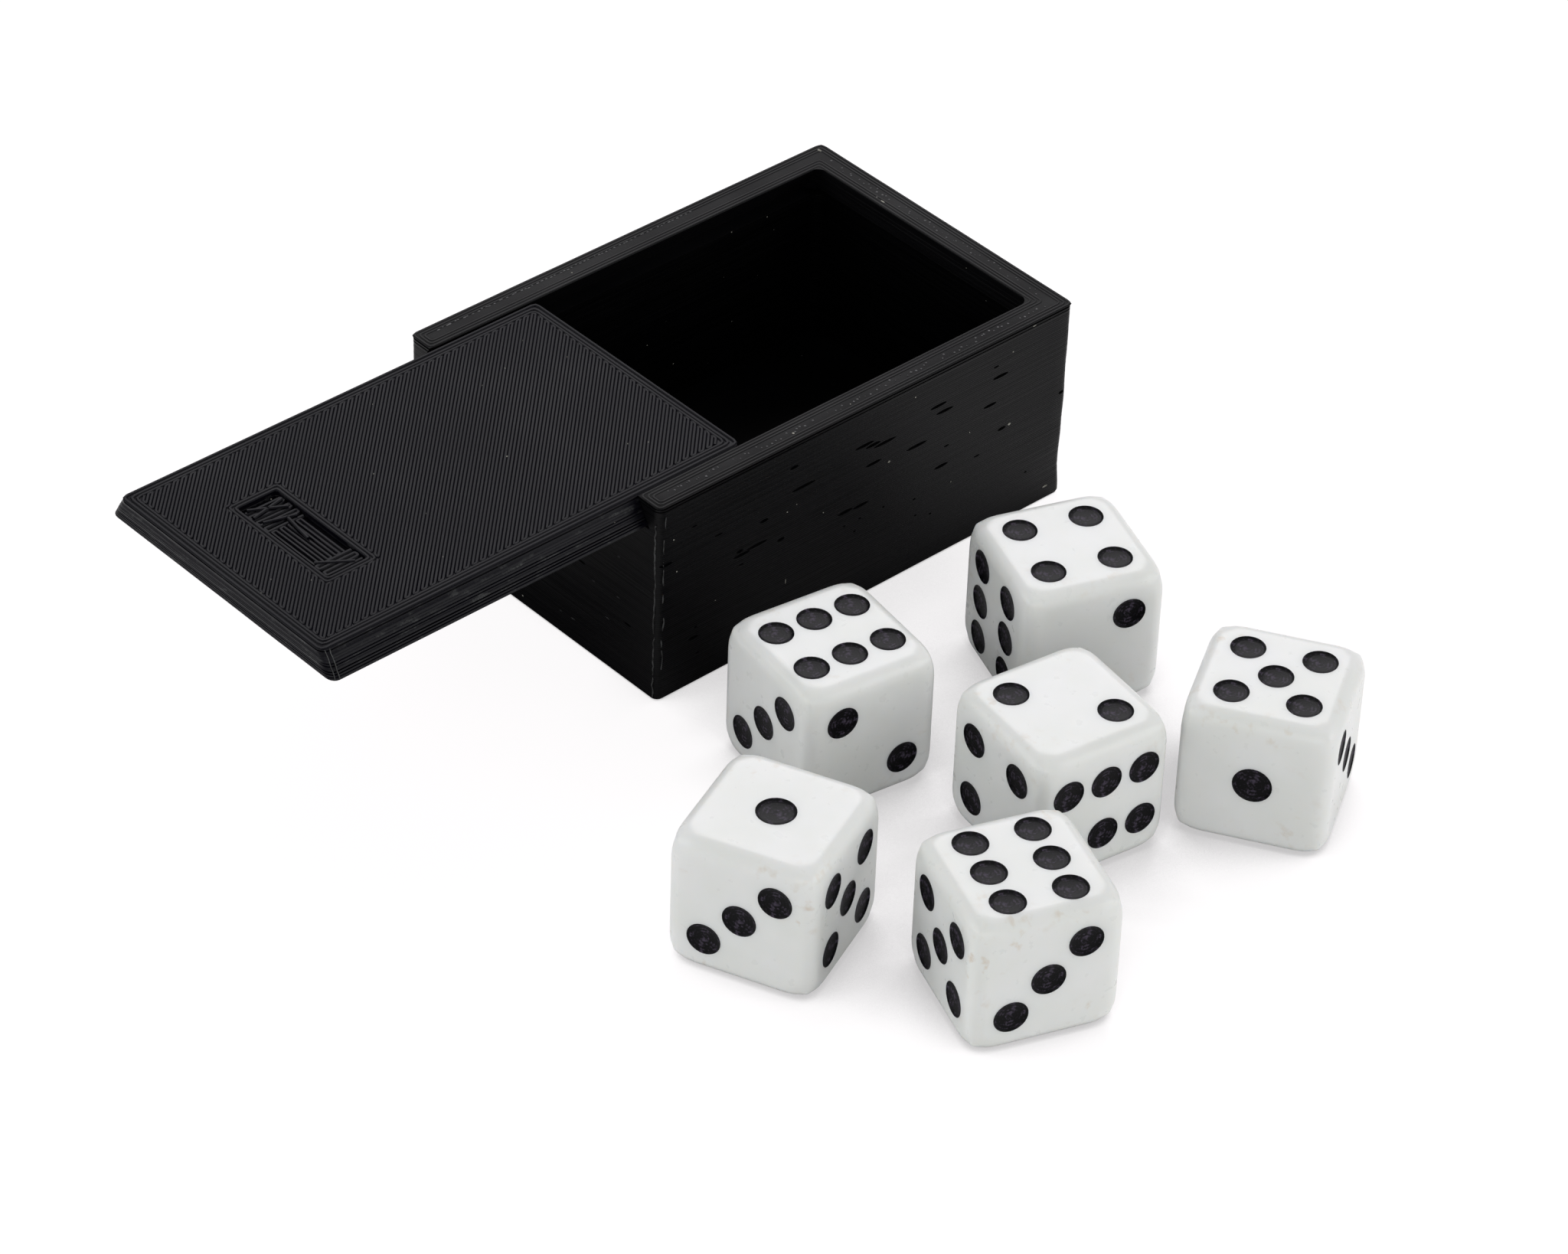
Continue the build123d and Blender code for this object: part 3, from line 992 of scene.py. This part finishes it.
def printed_plastic(name, dark, light, share, rough_low, rough_high, specular, scuffs=0.0, dust_size=0.035):
    """Black plastic whose layers vary in colour and roughness, with dust and, if asked for, scuffs."""
    material, tree, shader = new_material(name, specular)
    layers = place_group(tree, STREAKS)
    dust = place_group(tree, SPECKS, Size=dust_size)
    tone = blend_colours(ramp(layers.outputs["Streak"], 0, 1, 1 - share, 1.1 - share / 2), dark, light)
    if scuffs:
        short = place_group(tree, STREAKS, Drift=SCUFF_DRIFT)
        rubbed = maths("MULTIPLY", ramp(short.outputs["Streak"], 0, 1, 0.57, 0.68),
                       ramp(short.outputs["Grain"], 0.2, 1, 0.4, 0.6))
        tone = blend_colours(maths("MULTIPLY", rubbed, scuffs), tone, WORN_AND_HIGHLIGHT_GREY)
    link(blend_colours(dust.outputs["Mask"], tone, DUST), shader.inputs["Base Color"])
    link(ramp(layers.outputs["Streak"], rough_low, rough_high, 0.3, 0.7), shader.inputs["Roughness"])
    bump(shader, layers.outputs["Grain"], 0.25)
    return material


def crumbly(name, colour, roughness, breaks):
    """A finish that is broken up by darker grains."""
    material, tree, shader = new_material(name, 0.3, Roughness=roughness)
    grains = noise(object_place(tree), 1400.0, 3.0)
    darker = tuple(c * breaks for c in colour)
    link(blend_colours(ramp(grains, 0, 1, 0.42, 0.56), darker, colour), shader.inputs["Base Color"])
    bump(shader, grains, 0.3)
    return material


def die_plastic():
    """Milky white, stained where the die is handled."""
    material, tree, shader = new_material(
        "die plastic", 0.4, Subsurface_Weight=0.5, Subsurface_Scale=0.0016, Subsurface_Radius=(1.0, 0.9, 0.8)
    )
    place = object_place(tree)
    cloud, patch, wide = noise(place, 160.0), noise(place, 700.0, 5.0), noise(place, 110.0)
    base = blend_colours(ramp(cloud, 0, 1, 0.35, 0.65), DIE_WHITE, DIE_MILKY)
    sizes = vector_maths("ABSOLUTE", marked_place(tree, "die_place")).outputs["Vector"]
    total = vector_maths("DOT_PRODUCT", sizes, (1, 1, 1)).outputs["Value"]
    # 1 at a face's middle, 2 along an edge and 3 at a corner: handling stains the edges.
    edge = ramp(total, 0, 1, 1.75, 2.1)
    grime = maths("MULTIPLY", ramp(patch, 0, 0.5, 0.56, 0.72), edge)
    stain = maths("MULTIPLY", grime, ramp(wide, 0, 1, 0.5, 0.68))
    link(blend_colours(stain, base, DIE_STAIN), shader.inputs["Base Color"])
    link(ramp(patch, 0.27, 0.31, 0.3, 0.7), shader.inputs["Roughness"])
    bump(shader, patch, 0.008)
    return material


def spot_paint():
    """Black fill, with the swirl that the tool left in the dish, and a painted sheen in lighter mottled patches."""
    material, tree, shader = new_material("spot black", 0.045, Coat_Weight=0.05, Coat_Roughness=0.1)
    rings, stray = 34.0, 9.0    # how close the rings of the swirl are, and how far they stray
    place = marked_place(tree, "spot_place")
    length = vector_maths("LENGTH", place).outputs["Value"]
    mottle = noise(place, 2.4, 6.0, 0.7)
    turns = maths("ADD", maths("MULTIPLY", length, rings), maths("MULTIPLY", mottle, stray))
    swirl = maths("SINE", turns)
    # painted sheen: lighter colour in mottled patches along the swirl
    painted_sheen = ramp(maths("ADD", maths("MULTIPLY", swirl, 0.04), mottle), 0, 1, 0.5, 0.64)
    link(blend_colours(painted_sheen, SPOT_DARK, SPOT_PAINTED_SHEEN), shader.inputs["Base Color"])
    link(ramp(mottle, 0.3, 0.5, 0.3, 0.7), shader.inputs["Roughness"])
    bump(shader, maths("ADD", maths("MULTIPLY", swirl, 0.08), mottle), 0.5, 0.05)
    return material


# ---- Studio ----
CAMERA_AZIMUTH = 46.967
CAMERA_ELEVATION = 37.803
CAMERA_ROLL = 2.11
CAMERA_PLACE = (0.36716, -0.33534, 0.36944)
CAMERA_LENS = 130.56


def make_camera():
    a, e, r = (math.radians(v) for v in (CAMERA_AZIMUTH, CAMERA_ELEVATION, CAMERA_ROLL))
    back = Vector((math.sin(a) * math.cos(e), -math.cos(a) * math.cos(e), math.sin(e)))
    right = Vector((math.cos(a), math.sin(a), 0))
    up = back.cross(right)
    across = math.cos(r) * right + math.sin(r) * up
    above = math.cos(r) * up - math.sin(r) * right
    turn = Matrix((across, above, back)).transposed().to_4x4()
    lens = bpy.data.cameras.new("camera")
    lens.lens = CAMERA_LENS
    lens.sensor_width = 36.0
    lens.clip_start, lens.clip_end = 0.01, 20
    camera = put("camera", lens)
    camera.matrix_world = Matrix.Translation(CAMERA_PLACE) @ turn
    bpy.context.scene.camera = camera


LAMP_TARGET = Vector((0.03, -0.02, 0.01))
# Name, direction from the object, distance and side in metres, brightness where white is 1, and colour.
LAMPS = [
    ("back panel", 137, 40, 1.3, 0.7, 3.9, (0.985, 0.965, 1)),
    ("left panel", -123, 24, 1.2, 0.9, 1.9, (0.975, 1, 0.99)),
    ("right panel", 37, 24, 1.2, 0.9, 2.1, (0.99, 1, 0.98)),
    ("front panel", -43, 20, 1.2, 0.9, 1.25, (0.99, 1, 0.985)),
]


def soft_light(name, azimuth, elevation, distance, size, radiance, colour):
    a, e = math.radians(azimuth), math.radians(elevation)
    way = Vector((math.cos(a) * math.cos(e), math.sin(a) * math.cos(e), math.sin(e)))
    lamp = bpy.data.lights.new(name, "AREA")
    lamp.shape = "SQUARE"
    lamp.size = size
    lamp.energy = radiance * math.pi * size * size
    lamp.color = colour
    holder = put(name, lamp)
    holder.location = LAMP_TARGET + way * distance
    holder.rotation_mode = "QUATERNION"
    holder.rotation_quaternion = way.to_track_quat("Z", "Y")
    holder.visible_camera = False


FLOOR_DROP = 0.00002        # how far the floor lies below the object, in metres
FLOOR_TRUE = (0.8, 0.8, 0.8)
FLOOR_SEEN = (0.14, 0.136, 0.14)
GLOW_COLOUR = (1, 0.985, 0.99)
FLOOR_GLOW = 0.94
GAP_GLOW = 0.5              # what is left of it under the painted shade in a narrow gap
SHADE_REACH = 0.08          # how far the object's shade shows in what its gloss mirrors, in metres
GAP_REACH = 0.02            # how near the pieces stand whose gaps get painted shade, in metres
DICE_MIDDLE = (0.0585, -0.0135, 0)      # the floor among the dice, in metres
DICE_REACH = (0.027, 0.05)  # from there, where the floor stops counting as among them
# How open the floor is where its shade is full, and where it ends: in the gloss, among the dice and beside them.
MIRRORED_SHADE, AMONG_SHADE, BESIDE_SHADE = (0.42, 0.6), (0.38, 0.64), (0.22, 0.46)
WORLD_LIGHT = 0.3


def split_by_view(tree, output, on_object, seen):
    """Lights the object with one shader, and shows the other straight, mirrored or through glass."""
    path = new_node(tree, "LightPath")
    direct = maths("MAXIMUM", path.outputs["Is Camera Ray"], path.outputs["Is Glossy Ray"])
    direct = maths("MAXIMUM", direct, path.outputs["Is Transmission Ray"])
    mix = new_node(tree, "MixShader")
    for source, socket in zip((direct, on_object.outputs[0], seen.outputs[0]), mix.inputs):
        link(source, socket)
    link(mix.outputs[0], new_node(tree, output).inputs["Surface"])


def openness(tree, reach):
    """1 in the open, and less where something stands within that reach."""
    node = new_node(tree, "AmbientOcclusion", Distance=reach)
    node.samples = 8
    return node.outputs["AO"]


def make_floor():
    floor = add(bpy.ops.mesh.primitive_plane_add, size=6, location=(0, 0, -FLOOR_DROP))
    floor.name = "floor"
    bpy.ops.object.transform_apply()
    material = bpy.data.materials.new("pale table")
    material.use_nodes = True
    tree = material.node_tree
    tree.nodes.clear()
    true = new_node(tree, "BsdfDiffuse", Color=(*FLOOR_TRUE, 1))
    seen = new_node(tree, "BsdfDiffuse", Color=(*FLOOR_SEEN, 1))
    glow = new_node(tree, "Emission", Color=(*GLOW_COLOUR, 1))
    both = new_node(tree, "AddShader")
    link(seen.outputs[0], both.inputs[0])
    link(glow.outputs[0], both.inputs[1])
    # Painted shade: the glow dims among the dice, beside the pieces and, in what the gloss mirrors, near the object,
    # by how open the floor is.
    gaps, shade = openness(tree, GAP_REACH), openness(tree, SHADE_REACH)
    mirrored = new_node(tree, "LightPath").outputs["Is Glossy Ray"]
    lost = maths("MULTIPLY", mirrored, ramp(shade, 1, 0, *MIRRORED_SHADE))
    among = ramp(gaps, GAP_GLOW, FLOOR_GLOW, *AMONG_SHADE)
    beside = ramp(gaps, GAP_GLOW, FLOOR_GLOW, *BESIDE_SHADE)
    away = vector_maths("DISTANCE", object_place(tree), DICE_MIDDLE).outputs["Value"]
    outside = ramp(away, 0, 1, *DICE_REACH)
    bright = maths("ADD", maths("MULTIPLY", beside, outside),
                   maths("MULTIPLY", among, maths("SUBTRACT", 1.0, outside)))
    link(maths("MULTIPLY", bright, maths("SUBTRACT", 1.0, lost)), glow.inputs["Strength"])
    split_by_view(tree, "OutputMaterial", true, both)
    floor.data.materials.append(material)


def make_world():
    world = bpy.data.worlds.new("studio")
    bpy.context.scene.world = world
    world.use_nodes = True
    tree = world.node_tree
    tree.nodes.clear()
    light, white = (new_node(tree, "Background", Color=(1, 1, 1, 1), Strength=value) for value in (WORLD_LIGHT, 1.0))
    split_by_view(tree, "OutputWorld", light, white)


# ---- Everything together ----
def dress(piece, body, nodes):
    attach(piece, body)
    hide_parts(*nodes)


STREAKS, SPECKS = make_streaks(), make_specks()
# painted highlight: the near corners' ridges are coloured light grey for the light that catches them
ridge_highlight = crumbly("ridge painted highlight", WORN_AND_HIGHLIGHT_GREY, 0.45, 0.15)
dust = crumbly("dust", DUST, 0.9, 0.5)
box = make_box(
    printed_plastic("box plastic", BLACK_DARK, BLACK_LIGHT, 0.7, 0.36, 0.43, 0.084, dust_size=0.05),
    printed_plastic("rim plastic", BLACK_DARK, BLACK_LIGHT, 0.7, 0.34, 0.44, 0.064),
    printed_plastic("rim middle plastic", BLACK_DARK, BLACK_LIGHT, 0.7, 0.36, 0.5, 0.05),
    # painted shade inside the box: darker colour and less gloss than the box plastic
    printed_plastic("cavity painted shade plastic", CAVITY_SHADE_BLACK, BLACK_DARK, 0.7, 0.4, 0.44, 0.03),
    crumbly("rim blobs", BLOB_GREY, 0.4, 0.4), ridge_highlight, dust
)
box.name = "printed_box"
dress(box, "chest", ["box"])
lid = make_lid(
    printed_plastic("lid plastic", LID_BLACK, LID_STREAK, 0.55, 0.28, 0.4, 0.047),
    printed_plastic("lid side plastic", LID_BLACK, LID_STREAK, 0.55, 0.26, 0.36, 0.085, scuffs=0.8),
    ridge_highlight, dust
)
lid.name = "printed_lid"
dress(lid, "lid", ["lid"])

white, black = die_plastic(), spot_paint()
die_master, spots_master = make_die(), make_spots()
smooth(die_master, DIE_SMOOTH)
smooth(spots_master, SPOT_SMOOTH)
for name, (x, y), degrees, one, two in DICE:
    place = (Matrix.Translation(Vector((x, y, DIE_SIZE / 2)) * MM)
             @ Matrix.Rotation(math.radians(degrees), 4, "Z") @ turn_to(one, two))
    dress(coated(copy_of(die_master, f"{name}_body", place), white), name, [name])
    dress(coated(copy_of(spots_master, f"{name}_spots", place), black), name, [f"{name}_pips"])
bpy.data.objects.remove(die_master)
bpy.data.objects.remove(spots_master)

make_camera()
make_floor()
make_world()
for lamp in LAMPS:
    soft_light(*lamp)

bpy.context.scene.view_settings.view_transform = "Standard"
